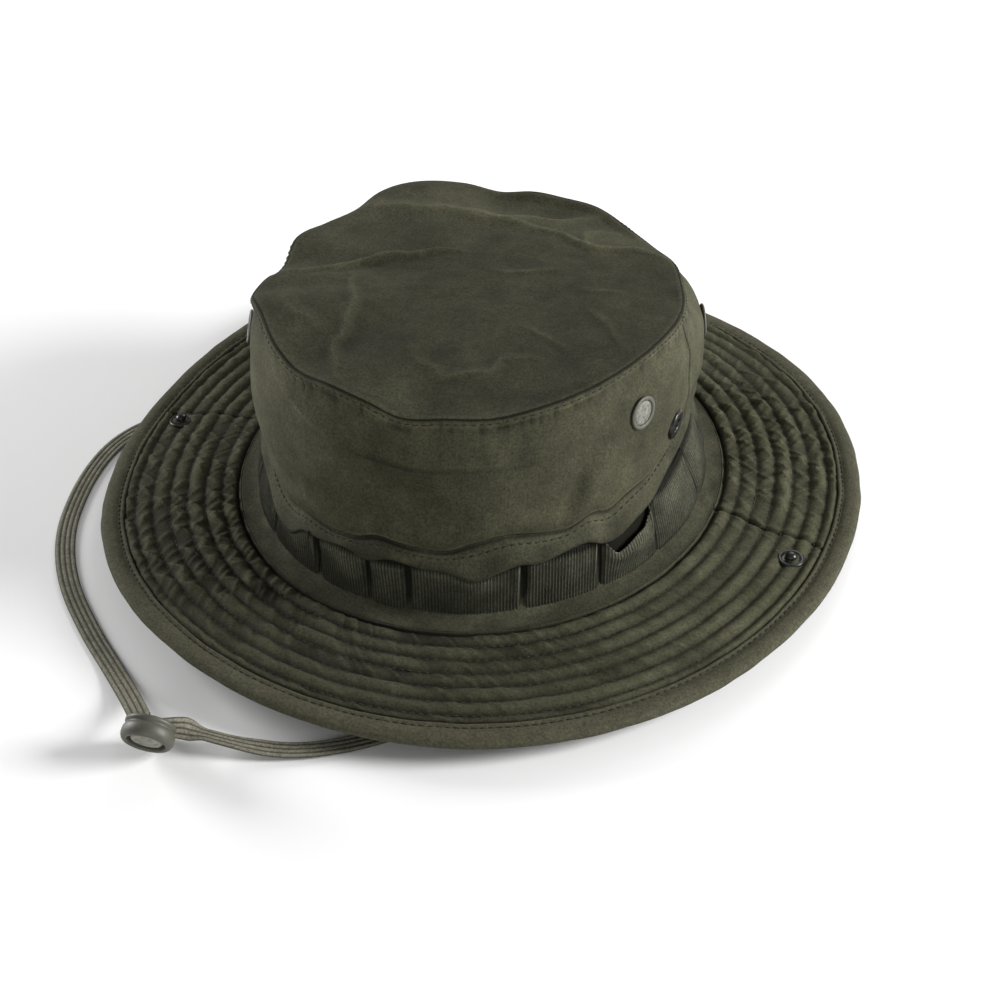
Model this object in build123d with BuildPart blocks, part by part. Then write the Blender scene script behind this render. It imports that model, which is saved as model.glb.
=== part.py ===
"""A boonie hat: oval crown, quilted brim whose sides fold up, chin strap with a cord lock.

+Z is up and the hat stands on z = 0. -Y is the front, +X the side on the right of the front view.
The origin is on the ground under the middle of the hat. All sizes are millimetres.
"""
import os
from math import radians, sin, tan

from build123d import *

os.makedirs("parts", exist_ok=True)

# ---- driving dimensions ----
SEAM_X, SEAM_Y = 95.0, 104.6        # half axes of the oval seam between crown and brim
SEAM_Z = 11.0                       # height of the brim's top face at that seam
BRIM_WIDTH = 56.0
BRIM_SLOPE = 0.1125                 # how far the brim drops for each mm outwards
CLOTH = 0.8                         # one layer of ripstop cloth
INTERLINING = 1.0                   # stiff felt between the two cloths of the brim
BRIM_THICKNESS = 2 * CLOTH + INTERLINING
SEAM_ALLOWANCE = 10.5               # the brim's edge turned in under the crown
BINDING_WIDTH = 8.5                 # bias tape folded round the brim's edge
BINDING_CLOTH = 0.65

FOLD_X = 98.0                       # the sides of the brim fold up along these lines
FOLD_GAP = 0.15

WALL = 1.0                          # crown cloth with its seam allowances
BAND_TOP = 38.0                     # upper edge of the lower band
BAND_FOOT = (SEAM_X, SEAM_Y, SEAM_Z + 0.3)
BAND_KNEE = (88.0, 96.0, 14.5)      # where the band turns upright, under the webbing
BAND_HEAD = (87.6, 95.6, BAND_TOP)
SIDE_PROFILE = (                    # half x, half y and height of the upper crown's ovals
    (87.6, 95.6, BAND_TOP + 0.2),
    (87.8, 95.8, 50.0),
    (87.4, 95.4, 66.0),
    (86.8, 94.8, 84.0),
    (83.5, 91.5, 114.0),
)
TOP_Z, TOP_TILT = 95.5, 0.08        # the crown has slumped: its top falls away to the back

WEBBING_WIDTH, WEBBING_THICKNESS = 24.0, 1.4
WEBBING_FOOT = 15.0
SWEATBAND_X, SWEATBAND_Y = 86.4, 94.3
SWEATBAND_THICKNESS = 1.0
SWEATBAND_FOOT, SWEATBAND_HEAD = 12.3, 42.0
SEAM_TAPE_WIDTH = 9.0

VENT_DROP, VENT_ANGLE = 17.3, 24.5  # below the top seam, and degrees fore and aft of each side
VENT_OUTER, VENT_MESH, VENT_FLANGE = 6.5, 4.8, 0.8
SNAP_Y = -14.0                      # the snaps sit a little forward of the side seams
STUD_X, SOCKET_Z = 132.0, 61.0
SNAP_RADIUS, SNAP_SHANK, SNAP_HOLE = 5.2, 2.0, 2.2
STUD_BALL, STUD_HEIGHT = 2.3, 3.2

STRAP_WIDTH, STRAP_THICKNESS = 8.0, 1.0
LOCK_CENTRE = (-48.5, -186.0, 10.9)
LOCK_NORMAL = (0.155, -0.894, -0.414)   # the lock's open face looks forward and down
LOCK_ACROSS = (0.985, 0.171, 0.0)
LOCK_RADIUS, LOCK_THICKNESS, LOCK_GROOVE = 10.0, 8.0, 0.9
RECESS_RADIUS, RECESS_DEPTH = 7.3, 4.6
BUTTON_RADIUS, BUTTON_THICKNESS, BUTTON_SUNK = 7.0, 2.2, 0.8
SPRING_RADIUS, SPRING_WIRE, SPRING_TURNS = 4.5, 0.4, 1.75
STRAP_SLOT = (2.0, 8.8)             # the two slots in the lock's back
SLOT_OUT = 4.8                      # from the lock's middle

# The strap's route: from the crown seam out under the brim, along the ground and up to the lock,
# then from the lock under the front of the brim to the seam on the other side.
STRAP_LEFT = (
    (-91.0, -4.0, 8.1),
    (-99.5, -4.2, 5.0),
    (-110.0, -3.6, 1.8),
    (-124.0, -2.2, 0.6),
    (-138.0, -4.5, 0.6),
    (-149.0, -14.0, 0.6),
    (-154.6, -29.5, 0.6),
    (-154.6, -47.0, 0.6),
    (-150.5, -68.0, 0.6),
    (-142.0, -92.5, 0.6),
    (-125.5, -117.0, 0.6),
    (-102.5, -138.5, 0.6),
    (-82.5, -154.0, 0.8),
    (-67.5, -167.0, 3.2),
    (-59.5, -175.4, 7.6),
    (-55.0, -180.7, 11.8),
)
STRAP_RIGHT = (
    (-40.3, -178.6, 10.1),
    (-37.0, -176.8, 7.8),
    (-30.0, -174.5, 4.9),
    (-19.0, -172.3, 2.5),
    (-6.0, -168.2, 0.8),
    (8.5, -160.0, 0.6),
    (23.5, -147.0, 0.6),
    (40.0, -129.5, 0.6),
    (57.0, -106.0, 0.6),
    (71.5, -78.0, 0.6),
    (80.5, -50.0, 0.6),
    (84.8, -31.0, 1.4),
    (86.8, -19.0, 4.2),
    (87.6, -8.5, 8.1),
)
TAB_SIZE = (5.0, 12.0, 1.5)         # the cloth tabs that hold the strap's ends in the seam

FRONT, BACK = -1, 1
FAR = 200.0                         # beyond everything, for cutting blocks


def save(part, name):
    part.label = name
    export_step(part, f"parts/{name}.step")


def brim_top(width):
    """Height of the brim's top face, this far out from the crown seam."""
    return SEAM_Z - BRIM_SLOPE * width


def brim_ring(top_drop, thickness, inner, outer):
    """Sloping oval ring, its top face top_drop under the brim's, between two widths."""
    margin = 1.3 * thickness / BRIM_SLOPE
    with BuildPart() as ring:
        for drop, mode in ((top_drop, Mode.ADD), (top_drop + thickness, Mode.SUBTRACT)):
            for width in (inner - margin, outer + margin):
                with BuildSketch(Plane.XY.offset(brim_top(width) - drop)):
                    Ellipse(SEAM_X + width, SEAM_Y + width)
            loft(ruled=True, mode=mode)
        with BuildSketch(Plane.XY.offset(-5)):
            Ellipse(SEAM_X + outer, SEAM_Y + outer)
            Ellipse(SEAM_X + inner, SEAM_Y + inner, mode=Mode.SUBTRACT)
        extrude(amount=30, mode=Mode.INTERSECT)
    return ring.part


def cut_to(part, low, high):
    """The stretch of a part between two corners of a plan rectangle."""
    with BuildPart() as piece:
        add(part)
        with BuildSketch(Plane.XY.offset(-20)):
            with Locations(((low[0] + high[0]) / 2, (low[1] + high[1]) / 2)):
                Rectangle(high[0] - low[0], high[1] - low[1])
        extrude(amount=FAR, mode=Mode.INTERSECT)
    return piece.part


def drill(part, plane, radius):
    """A part with a round hole through it along the plane's normal."""
    with BuildPart() as drilled:
        add(part)
        with BuildSketch(plane.offset(-12)):
            Circle(radius)
        extrude(amount=24, mode=Mode.SUBTRACT)
    return drilled.part


def oval_shell(profile, wall):
    """A band of cloth whose outer face runs through the ovals of a profile."""
    with BuildPart() as shell:
        for inset, mode in ((0, Mode.ADD), (wall, Mode.SUBTRACT)):
            for half_x, half_y, height in profile:
                with BuildSketch(Plane.XY.offset(height)):
                    Ellipse(half_x - inset, half_y - inset)
            loft(ruled=True, mode=mode)
    return shell.part


def crown_block(inset=0.0):
    """The upper crown as a filled block, inset from its outer face."""
    with BuildPart() as block:
        for half_x, half_y, height in SIDE_PROFILE:
            with BuildSketch(Plane.XY.offset(height)):
                Ellipse(half_x - inset, half_y - inset)
        loft(ruled=True)
    return block.part


def top_plane(lift):
    """The slanting plane of the crown's top, raised by lift."""
    return Plane(origin=(0, 0, TOP_Z + lift), x_dir=(1, 0, 0), z_dir=(0, TOP_TILT, 1))


def crown_oval(z):
    """Half axes of the crown's outer oval at a height."""
    for (low_x, low_y, low_z), (high_x, high_y, high_z) in zip(SIDE_PROFILE, SIDE_PROFILE[1:]):
        if z <= high_z:
            share = (z - low_z) / (high_z - low_z)
            return low_x + share * (high_x - low_x), low_y + share * (high_y - low_y)
    raise ValueError("above the crown")


def crown_plane(side_x, y, z):
    """A plane on the crown's outer face, with its normal pointing out."""
    half_x, half_y = crown_oval(z)
    x = side_x * half_x * (1 - (y / half_y) ** 2) ** 0.5
    return Plane(origin=(x, y, z), x_dir=(0, 0, 1), z_dir=(x / half_x**2, y / half_y**2, 0))


def brim_plane(side_x):
    """A plane on the brim's top face at a stud, with its normal pointing up."""
    stud_width = STUD_X - SEAM_X + SNAP_Y**2 / (2 * STUD_X)
    tilt = (side_x * BRIM_SLOPE, 0, 1)
    return Plane(origin=(side_x * STUD_X, SNAP_Y, brim_top(stud_width)), x_dir=(0, 1, 0), z_dir=tilt)


def disc(plane, radius, low, high, hole=0.0):
    """A washer on a plane, from the low to the high distance along its normal."""
    with BuildPart() as ring:
        with BuildSketch(plane.offset(low)):
            Circle(radius)
            if hole:
                Circle(hole, mode=Mode.SUBTRACT)
        extrude(amount=high - low)
    return ring.part


def rim_edges(part, plane):
    """The round edges furthest out along a plane's normal."""
    return part.edges().filter_by(GeomType.CIRCLE).group_by(Axis(plane.origin, plane.z_dir))[-1]


# ---- the brim: two cloths with an interlining, quilted together, and a binding ----
MIDDLE = FOLD_X - FOLD_GAP
EDGE = FOLD_X + FOLD_GAP
HALVES = {
    "front": ((-MIDDLE, -FAR), (MIDDLE, 0)),
    "back": ((-MIDDLE, 0), (MIDDLE, FAR)),
    "left_front": ((-FAR, -FAR), (-EDGE, 0)),
    "left_back": ((-FAR, 0), (-EDGE, FAR)),
    "right_front": ((EDGE, -FAR), (FAR, 0)),
    "right_back": ((EDGE, 0), (FAR, FAR)),
}
WHOLES = {
    "front": HALVES["front"],
    "back": HALVES["back"],
    "left": ((-FAR, -FAR), (-EDGE, FAR)),
    "right": ((EDGE, -FAR), (FAR, FAR)),
}
CLOTH_EDGE = BRIM_WIDTH - 1.2
LAYERS = {
    "brim_top": (0.0, CLOTH, HALVES),
    "brim_interlining": (CLOTH, INTERLINING, WHOLES),
    "brim_underside": (CLOTH + INTERLINING, CLOTH, HALVES),
}
stud_planes = {"left": brim_plane(-1), "right": brim_plane(1)}

for layer, (layer_drop, layer_thickness, places) in LAYERS.items():
    layer_ring = brim_ring(layer_drop, layer_thickness, -SEAM_ALLOWANCE, CLOTH_EDGE)
    for place, (low_corner, high_corner) in places.items():
        brim_piece = cut_to(layer_ring, low_corner, high_corner)
        side = place.split("_")[0]
        if side in stud_planes and not place.endswith("back"):
            brim_piece = drill(brim_piece, stud_planes[side], SNAP_HOLE)
        save(brim_piece, f"{layer}_{place}")

BINDING_INNER = BRIM_WIDTH - BINDING_WIDTH
with BuildPart() as binding_ring:
    add(brim_ring(-BINDING_CLOTH, BRIM_THICKNESS + 2 * BINDING_CLOTH, BINDING_INNER, BRIM_WIDTH))
    add(brim_ring(0, BRIM_THICKNESS, BINDING_INNER - 5, CLOTH_EDGE), mode=Mode.SUBTRACT)
for place, (low_corner, high_corner) in WHOLES.items():
    save(cut_to(binding_ring.part, low_corner, high_corner), f"brim_binding_{place}")

# ---- the crown ----
save(oval_shell((BAND_FOOT, BAND_KNEE, BAND_HEAD), WALL), "lower_band")

with BuildPart() as webbing:
    with BuildSketch(Plane.XY.offset(WEBBING_FOOT)):
        Ellipse(BAND_KNEE[0] + 0.1 + WEBBING_THICKNESS, BAND_KNEE[1] + 0.1 + WEBBING_THICKNESS)
        Ellipse(BAND_KNEE[0] + 0.1, BAND_KNEE[1] + 0.1, mode=Mode.SUBTRACT)
    extrude(amount=WEBBING_WIDTH - 1.5)
save(webbing.part, "webbing_loops")

with BuildPart() as sweatband:
    with BuildSketch(Plane.XY.offset(SWEATBAND_FOOT)):
        Ellipse(SWEATBAND_X, SWEATBAND_Y)
        inner_x, inner_y = SWEATBAND_X - SWEATBAND_THICKNESS, SWEATBAND_Y - SWEATBAND_THICKNESS
        Ellipse(inner_x, inner_y, mode=Mode.SUBTRACT)
    extrude(amount=SWEATBAND_HEAD - SWEATBAND_FOOT)
save(sweatband.part, "sweatband")

with BuildPart() as crown_top:
    add(crown_block())
    split(bisect_by=top_plane(0.1), keep=Keep.TOP)
    split(bisect_by=top_plane(0.1 + WALL), keep=Keep.BOTTOM)
save(crown_top.part, "crown_top")

with BuildPart() as seam_tape:
    add(crown_block(inset=WALL + 0.1))
    add(crown_block(inset=2 * WALL), mode=Mode.SUBTRACT)
    split(bisect_by=top_plane(-SEAM_TAPE_WIDTH), keep=Keep.TOP)
    split(bisect_by=top_plane(0.0), keep=Keep.BOTTOM)
save(seam_tape.part, "crown_seam_tape")

with BuildPart() as crown_side:
    add(crown_block())
    add(crown_block(inset=WALL), mode=Mode.SUBTRACT)
    split(bisect_by=top_plane(0.0), keep=Keep.BOTTOM)

vent_y = 95.0 * sin(radians(VENT_ANGLE))
vents = {
    f"{side}_{end}": crown_plane(side_x, end_y * vent_y, TOP_Z - TOP_TILT * end_y * vent_y - VENT_DROP)
    for side, side_x in (("left", -1), ("right", 1))
    for end, end_y in (("front", FRONT), ("back", BACK))
}
sockets = {
    side: crown_plane(side_x, SNAP_Y, SOCKET_Z) for side, side_x in (("left", -1), ("right", 1))
}
for half, low_y, high_y in (("front", -FAR, 0), ("back", 0, FAR)):
    panel = cut_to(crown_side.part, (-FAR, low_y), (FAR, high_y))
    for place, plane in vents.items():
        if place.endswith(half):
            panel = drill(panel, plane, VENT_MESH + 0.7)
    if half == "front":
        for plane in sockets.values():
            panel = drill(panel, plane, SNAP_HOLE)
    save(panel, f"crown_side_{half}")

# ---- screened vents: an eyelet outside, its mesh disc, and a washer inside ----
for place, plane in vents.items():
    with BuildPart() as eyelet:
        add(disc(plane, VENT_OUTER, 0.45, 0.45 + VENT_FLANGE, VENT_MESH))
        add(disc(plane, VENT_MESH + 0.5, -2.6, 0.45, VENT_MESH))
        fillet(rim_edges(eyelet, plane), radius=0.25)
    save(eyelet.part, f"vent_eyelet_{place}")
    save(disc(plane, VENT_MESH - 0.02, -0.4, 0.1), f"vent_screen_{place}")
    save(disc(plane, VENT_OUTER, -2.6, -1.9, VENT_MESH + 0.55), f"vent_washer_{place}")

# ---- snap fasteners: studs on the brim, sockets on the crown, each with a cap behind ----
for side, plane in stud_planes.items():
    with BuildPart() as stud:
        add(disc(plane, SNAP_RADIUS, 0.05, 0.6))
        add(disc(plane, STUD_BALL - 0.3, 0.6, STUD_HEIGHT - 1.0))
        with BuildSketch(plane.offset(STUD_HEIGHT - 1.6)):
            Circle(STUD_BALL)
        extrude(amount=1.6)
        fillet(rim_edges(stud, plane), radius=0.7)
    save(stud.part, f"snap_stud_{side}")
    with BuildPart() as post:
        add(disc(plane, SNAP_RADIUS, -BRIM_THICKNESS - 0.8, -BRIM_THICKNESS - 0.1))
        add(disc(plane, SNAP_SHANK, -BRIM_THICKNESS - 0.1, 0.05))
    save(post.part, f"snap_post_{side}")

for side, plane in sockets.items():
    with BuildPart() as socket:
        add(disc(plane, 6.0, 0.2, 2.0))
        add(disc(plane, 3.4, 0.8, 2.0), mode=Mode.SUBTRACT)
        add(disc(plane, 6.0, 1.6, 2.0, 4.6), mode=Mode.SUBTRACT)
    save(socket.part, f"snap_socket_{side}")
    with BuildPart() as cap:
        add(disc(plane, 6.0, -2.4, -1.5))
        add(disc(plane, SNAP_SHANK, -1.5, 0.2))
    save(cap.part, f"snap_cap_{side}")

# ---- the chin strap and its sewn ends ----
def arc_radii(points):
    """The arc at each corner of a route, as large as its two runs allow."""
    radii = []
    for before, corner, after in zip(points, points[1:], points[2:]):
        run_in = Vector(*corner) - Vector(*before)
        run_out = Vector(*after) - Vector(*corner)
        half_turn = radians(run_in.get_angle(run_out)) / 2
        radii.append(0.45 * min(run_in.length, run_out.length) / tan(half_turn))
    return radii


def strap_tube(points):
    """Flat strap along a route of straight runs joined by tangent arcs."""
    radii = arc_radii(points)
    with BuildPart() as tube:
        with BuildLine() as route:
            FilletPolyline(*points, radius=radii)
        path = route.wire()
        across = (path % 0).cross(Vector(0, 0, 1))
        with BuildSketch(Plane(origin=path @ 0, x_dir=across, z_dir=path % 0)):
            Rectangle(STRAP_WIDTH, STRAP_THICKNESS)
        sweep(path=path)
    section = STRAP_WIDTH * STRAP_THICKNESS
    print("strap length", round(path.length, 1), "radii", [round(radius) for radius in radii])
    print("volume over section times length", round(tube.part.volume / path.length / section, 3))
    return tube.part


save(strap_tube(STRAP_LEFT), "chin_strap_left")
save(strap_tube(STRAP_RIGHT[::-1]), "chin_strap_right")

tab_length, tab_width, tab_height = TAB_SIZE
left_end, right_end = STRAP_LEFT[0], STRAP_RIGHT[-1]
with BuildPart(Plane((left_end[0] + tab_length / 2 + 0.3, left_end[1], left_end[2] - 0.4))) as left_tab:
    Box(tab_length, tab_width, tab_height)
save(left_tab.part, "strap_tab_left")
with BuildPart(Plane((right_end[0], right_end[1] + tab_length / 2 + 0.4, right_end[2] - 0.4))) as right_tab:
    Box(tab_width, tab_length, tab_height)
save(right_tab.part, "strap_tab_right")

# ---- the cord lock: body, button and the spring under it ----
lock_plane = Plane(origin=LOCK_CENTRE, x_dir=LOCK_ACROSS, z_dir=LOCK_NORMAL)
lock_face = LOCK_THICKNESS / 2
recess_floor = lock_face - RECESS_DEPTH
button_face = lock_face - BUTTON_SUNK
button_back = button_face - BUTTON_THICKNESS

with BuildPart() as lock_body:
    add(disc(lock_plane, LOCK_RADIUS, -lock_face, lock_face))
    fillet(lock_body.edges(), radius=1.2)
    add(disc(lock_plane, RECESS_RADIUS, recess_floor, lock_face), mode=Mode.SUBTRACT)
    add(disc(lock_plane, LOCK_RADIUS + 1, -0.8, 0.8, LOCK_RADIUS - LOCK_GROOVE), mode=Mode.SUBTRACT)
    with BuildSketch(lock_plane.offset(-lock_face)):
        with Locations((-SLOT_OUT, 0), (SLOT_OUT, 0)):
            Rectangle(*STRAP_SLOT)
    extrude(amount=recess_floor + lock_face, mode=Mode.SUBTRACT)
save(lock_body.part, "lock_body")

with BuildPart() as lock_button:
    add(disc(lock_plane, BUTTON_RADIUS, button_back, button_face))
    fillet(rim_edges(lock_button, lock_plane), radius=0.5)
save(lock_button.part, "lock_button")

with BuildPart() as lock_spring:
    room = button_back - recess_floor
    rise = room - SPRING_WIRE - 0.04
    foot = lock_plane.offset(recess_floor + SPRING_WIRE / 2 + 0.02).origin
    with BuildLine():
        coil = Helix(rise / SPRING_TURNS, rise, SPRING_RADIUS, center=foot, direction=LOCK_NORMAL)
    with BuildSketch(Plane(origin=coil @ 0, z_dir=coil % 0)):
        Circle(SPRING_WIRE / 2)
    sweep(path=coil, is_frenet=True)
save(lock_spring.part, "lock_spring")
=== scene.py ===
from math import cos, pi, radians, sin, tau

import bmesh
import bpy
import numpy as np
from mathutils import Matrix, Vector


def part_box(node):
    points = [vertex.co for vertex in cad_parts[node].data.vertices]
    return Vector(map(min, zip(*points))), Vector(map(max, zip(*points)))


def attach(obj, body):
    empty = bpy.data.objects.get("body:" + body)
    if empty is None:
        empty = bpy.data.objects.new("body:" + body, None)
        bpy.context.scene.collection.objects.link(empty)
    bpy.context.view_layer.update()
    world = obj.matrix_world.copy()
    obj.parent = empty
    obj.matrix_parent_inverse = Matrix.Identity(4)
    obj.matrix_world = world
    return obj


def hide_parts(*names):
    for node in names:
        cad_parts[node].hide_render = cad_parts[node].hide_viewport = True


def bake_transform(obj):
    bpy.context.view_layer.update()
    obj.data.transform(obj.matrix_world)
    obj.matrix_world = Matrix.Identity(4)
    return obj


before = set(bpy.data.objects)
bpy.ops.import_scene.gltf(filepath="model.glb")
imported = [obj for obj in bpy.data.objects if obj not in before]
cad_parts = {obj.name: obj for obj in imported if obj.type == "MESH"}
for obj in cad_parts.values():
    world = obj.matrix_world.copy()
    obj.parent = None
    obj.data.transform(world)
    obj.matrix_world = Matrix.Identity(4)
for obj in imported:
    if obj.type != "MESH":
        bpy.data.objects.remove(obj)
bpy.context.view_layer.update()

# Every length below is in millimetres unless it says metres; MM turns it into Blender's metres.
MM = 0.001


def linked(name, data):
    """A new object in the scene."""
    obj = bpy.data.objects.new(name, data)
    bpy.context.collection.objects.link(obj)
    return obj


# ---- camera and light
def make_camera():
    """The eye looks down at the front of the hat from its right."""
    azimuth, elevation, distance = radians(21.6), radians(37.7), 0.7
    target = Vector((0.0301, -0.0577, 0.042))
    back = Vector((sin(azimuth) * cos(elevation), -cos(azimuth) * cos(elevation), sin(elevation)))
    lens = bpy.data.cameras.new("camera")
    lens.sensor_width, lens.lens = 36.0, 68.1
    camera = linked("camera", lens)
    camera.location = target + distance * back
    camera.rotation_euler = back.to_track_quat("Z", "Y").to_euler()
    bpy.context.scene.camera = camera


def make_light(name, place, size, power):
    """A soft box at a place in metres, turned to the hat."""
    data = bpy.data.lights.new(name, "AREA")
    data.shape, data.size, data.energy = "DISK", size, power
    light = linked(name, data)
    light.location = place
    light.rotation_euler = (Vector(place) - Vector((0, 0, 0.04))).to_track_quat("Z", "Y").to_euler()


make_camera()
make_light("left_side", (-1.4, 0.1, 0.45), 0.6, 21.0)
make_light("right_side", (1.3, 0.3, 0.64), 0.6, 34.0)
make_light("back_top", (0.0, 1.3, 0.9), 0.8, 6.0)
make_light("front_fill", (0.3, -1.5, 0.4), 0.9, 5.0)
bpy.context.scene.view_settings.view_transform = "Standard"
world = bpy.data.worlds.new("world")
bpy.context.scene.world = world
world.use_nodes = True
world.node_tree.nodes["Background"].inputs["Color"].default_value = (1, 1, 1, 1)
world.node_tree.nodes["Background"].inputs["Strength"].default_value = 0.25


# ---- mesh helpers
def mesh_object(name, points, faces, uvs=None, shade_and_wear=None):
    """An object from points in millimetres; uvs are (u, v) in millimetres, one row per point.
    The last argument is how much paler (to 1) or darker (to -1) the cloth is at each point: painted shade and
    painted highlights, with some real patchiness of tone."""
    mesh = bpy.data.meshes.new(name)
    faces = faces if isinstance(faces, list) else np.asarray(faces).tolist()
    mesh.from_pydata((np.asarray(points, float) * MM).tolist(), [], faces)
    if uvs is not None:
        layer = mesh.uv_layers.new(name="cloth")
        corners = np.empty(len(mesh.loops), np.int32)
        mesh.loops.foreach_get("vertex_index", corners)
        layer.data.foreach_set("uv", (np.asarray(uvs, np.float32) * MM)[corners].ravel())
    if shade_and_wear is not None:
        layer = mesh.attributes.new("shade_and_wear", "FLOAT", "POINT")
        layer.data.foreach_set("value", np.asarray(shade_and_wear, np.float32).ravel())
    mesh.shade_smooth()
    return linked(name, mesh)


def grid_faces(rows, columns, closed=False):
    """Quads of a grid whose points run row by row; closed joins the last column to the first."""
    row, column = np.meshgrid(np.arange(rows - 1), np.arange(columns - (not closed)), indexing="ij")
    following = (column + 1) % columns
    quads = (row * columns + column, row * columns + following,
             (row + 1) * columns + following, (row + 1) * columns + column)
    return np.stack(quads, -1).reshape(-1, 4)


def sheet_object(name, grid, uv_grid, closed=False, thickness=0.0, flip=False, rim=True, shade_and_wear=None):
    """A sheet from a grid of points (rows, columns, 3), with a thickness behind its face."""
    rows, columns = grid.shape[:2]
    faces = grid_faces(rows, columns, closed)
    if flip:
        faces = faces[:, ::-1]
    obj = mesh_object(name, grid.reshape(-1, 3), faces, uv_grid.reshape(-1, 2), shade_and_wear)
    if thickness:
        thicken(obj, thickness, rim)
    return obj


def thicken(obj, thickness, rim=True):
    """Give a sheet its thickness, behind its face."""
    solidify = obj.modifiers.new("thickness", "SOLIDIFY")
    solidify.thickness, solidify.offset, solidify.use_rim = thickness * MM, -1.0, rim
    apply_modifiers(obj)


def apply_modifiers(obj):
    graph = bpy.context.evaluated_depsgraph_get()
    mesh = bpy.data.meshes.new_from_object(obj.evaluated_get(graph))
    obj.modifiers.clear()
    obj.data = mesh


def lathe_object(name, profile, place, steps=48):
    """A turned piece: profile holds (radius, height) pairs; place is its matrix in millimetres."""
    turns = np.linspace(0, tau, steps, endpoint=False)
    radius, height = np.array(profile, float).T
    grid = np.stack((np.outer(radius, np.cos(turns)), np.outer(radius, np.sin(turns)),
                     np.outer(height, np.ones(steps))), -1)
    points = grid.reshape(-1, 3) @ np.array(place.to_3x3()).T + np.array(place.translation)
    obj = mesh_object(name, points, grid_faces(len(profile), steps, closed=True))
    weld = obj.modifiers.new("weld", "WELD")
    weld.merge_threshold = 0.01 * MM
    apply_modifiers(obj)
    return obj


def place_on(origin, normal, across=(0, 0, 1)):
    """A matrix with its z axis along a normal."""
    z = Vector(normal).normalized()
    x = (Vector(across) - z * z.dot(Vector(across))).normalized()
    matrix = Matrix((x, z.cross(x), z)).transposed().to_4x4()
    matrix.translation = Vector(origin)
    return matrix


def stacked(*parts):
    """Points or uvs from arrays that fit together, one array for each coordinate."""
    return np.stack(np.broadcast_arrays(*parts), -1)


def unit(vectors):
    """Vectors made one long."""
    return vectors / np.linalg.norm(vectors, axis=-1)[..., None]


def ease(value, low, high):
    """0 below low, 1 above high, with a smooth rise between."""
    share = np.clip((value - low) / (high - low), 0, 1)
    return share * share * (3 - 2 * share)


def on_grid(surface, theta, share):
    """A surface's points, and the painted shade and wear of its cloth, at every angle and share."""
    return surface(theta + 0 * share, share + 0 * theta)


def bell(value, middle, width):
    """A smooth bump, 1 at its middle and gone a few widths away."""
    return np.exp(-((value - middle) / width) ** 2)


def noise(points, seed):
    """Smooth noise from -1 to 1 at each row of points, with one bump or so per unit."""
    points = np.asarray(points, float)
    cell = np.floor(points).astype(np.int64)
    part = points - cell
    part = part * part * part * (part * (6 * part - 15) + 10)
    total = np.zeros(points.shape[:-1])
    for corner in np.ndindex(2, 2, 2):
        key = cell + corner
        mixed = key[..., 0] * 73856093 ^ key[..., 1] * 19349663 ^ key[..., 2] * 83492791 ^ seed * 2654435
        mixed = (mixed ^ (mixed >> 13)) * 1274126177 & 0x7FFFFFFF
        mixed = (mixed ^ (mixed >> 11)) * 668265263 & 0x7FFFFFFF
        weight = np.prod(np.where(np.array(corner) == 1, part, 1 - part), axis=-1)
        total += weight * (mixed / 0x3FFFFFFF - 1)
    return total


def round_noise(theta, across, bumps, stretch, seed):
    """Noise round a ring: bumps per turn, and one bump per stretch millimetres across it."""
    radius = bumps / tau
    return noise(stacked(np.cos(theta) * radius, np.sin(theta) * radius, across / stretch), seed)


def ring(*knots):
    """A closed curve of values against the angle in degrees, smooth through (angle, value) knots."""
    angle, value = np.array(sorted(knots), float).T
    angle = np.concatenate((angle - 360, angle, angle + 360))
    value = np.tile(value, 3)
    slope = np.gradient(value, angle)

    def at(theta):
        turn = np.degrees(theta) % 360
        index = np.clip(np.searchsorted(angle, turn) - 1, 0, len(angle) - 2)
        span = angle[index + 1] - angle[index]
        s = (turn - angle[index]) / span
        return ((2 * s**3 - 3 * s**2 + 1) * value[index] + (s**3 - 2 * s**2 + s) * span * slope[index]
                + (3 * s**2 - 2 * s**3) * value[index + 1] + (s**3 - s**2) * span * slope[index + 1])

    return at


def ridge(x, y, path, width, height):
    """A crease along a path of (x, y) points: a soft ridge of this width and height."""
    best = np.full(np.shape(x), 1e9)
    fade = np.zeros(np.shape(x))
    length = sum(np.hypot(b[0] - a[0], b[1] - a[1]) for a, b in zip(path, path[1:]))
    walked = 0.0
    for (ax, ay), (bx, by) in zip(path, path[1:]):
        run = np.hypot(bx - ax, by - ay)
        share = np.clip(((x - ax) * (bx - ax) + (y - ay) * (by - ay)) / run**2, 0, 1)
        gap = np.hypot(x - ax - share * (bx - ax), y - ay - share * (by - ay))
        along = (walked + share * run) / length
        nearer = gap < best
        best = np.where(nearer, gap, best)
        fade = np.where(nearer, np.sin(pi * (0.06 + 0.88 * along)) ** 0.7, fade)
        walked += run
    return height * fade * np.exp(-(best / width) ** 2)


# ---- materials
def new_material(name):
    material = bpy.data.materials.new(name)
    material.use_nodes = True
    return material, material.node_tree, material.node_tree.nodes["Principled BSDF"]


def node(tree, kind, **settings):
    """A new node; each setting is a socket's value or a property of the node."""
    made = tree.nodes.new("ShaderNode" + kind)
    for key, value in settings.items():
        if key in made.inputs:
            made.inputs[key].default_value = value
        else:
            setattr(made, key, value)
    return made


def noise_node(tree, scale, detail=4.0, roughness=0.6):
    """Noise through the object, scale bumps to the metre."""
    coordinates = node(tree, "TexCoord")
    made = node(tree, "TexNoise", Scale=scale, Detail=detail, Roughness=roughness)
    tree.links.new(coordinates.outputs["Object"], made.inputs["Vector"])
    return made.outputs["Fac"]


def ramp(tree, source, *stops):
    """A source turned to colour through (place, colour) stops; a single number is a grey."""
    made = node(tree, "ValToRGB")
    elements = made.color_ramp.elements
    while len(elements) < len(stops):
        elements.new(0.5)
    for element, (place, color) in zip(elements, stops):
        color = (color,) * 3 if isinstance(color, float) else color
        element.position, element.color = place, (*color, 1)
    tree.links.new(source, made.inputs["Fac"])
    return made.outputs["Color"]


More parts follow.
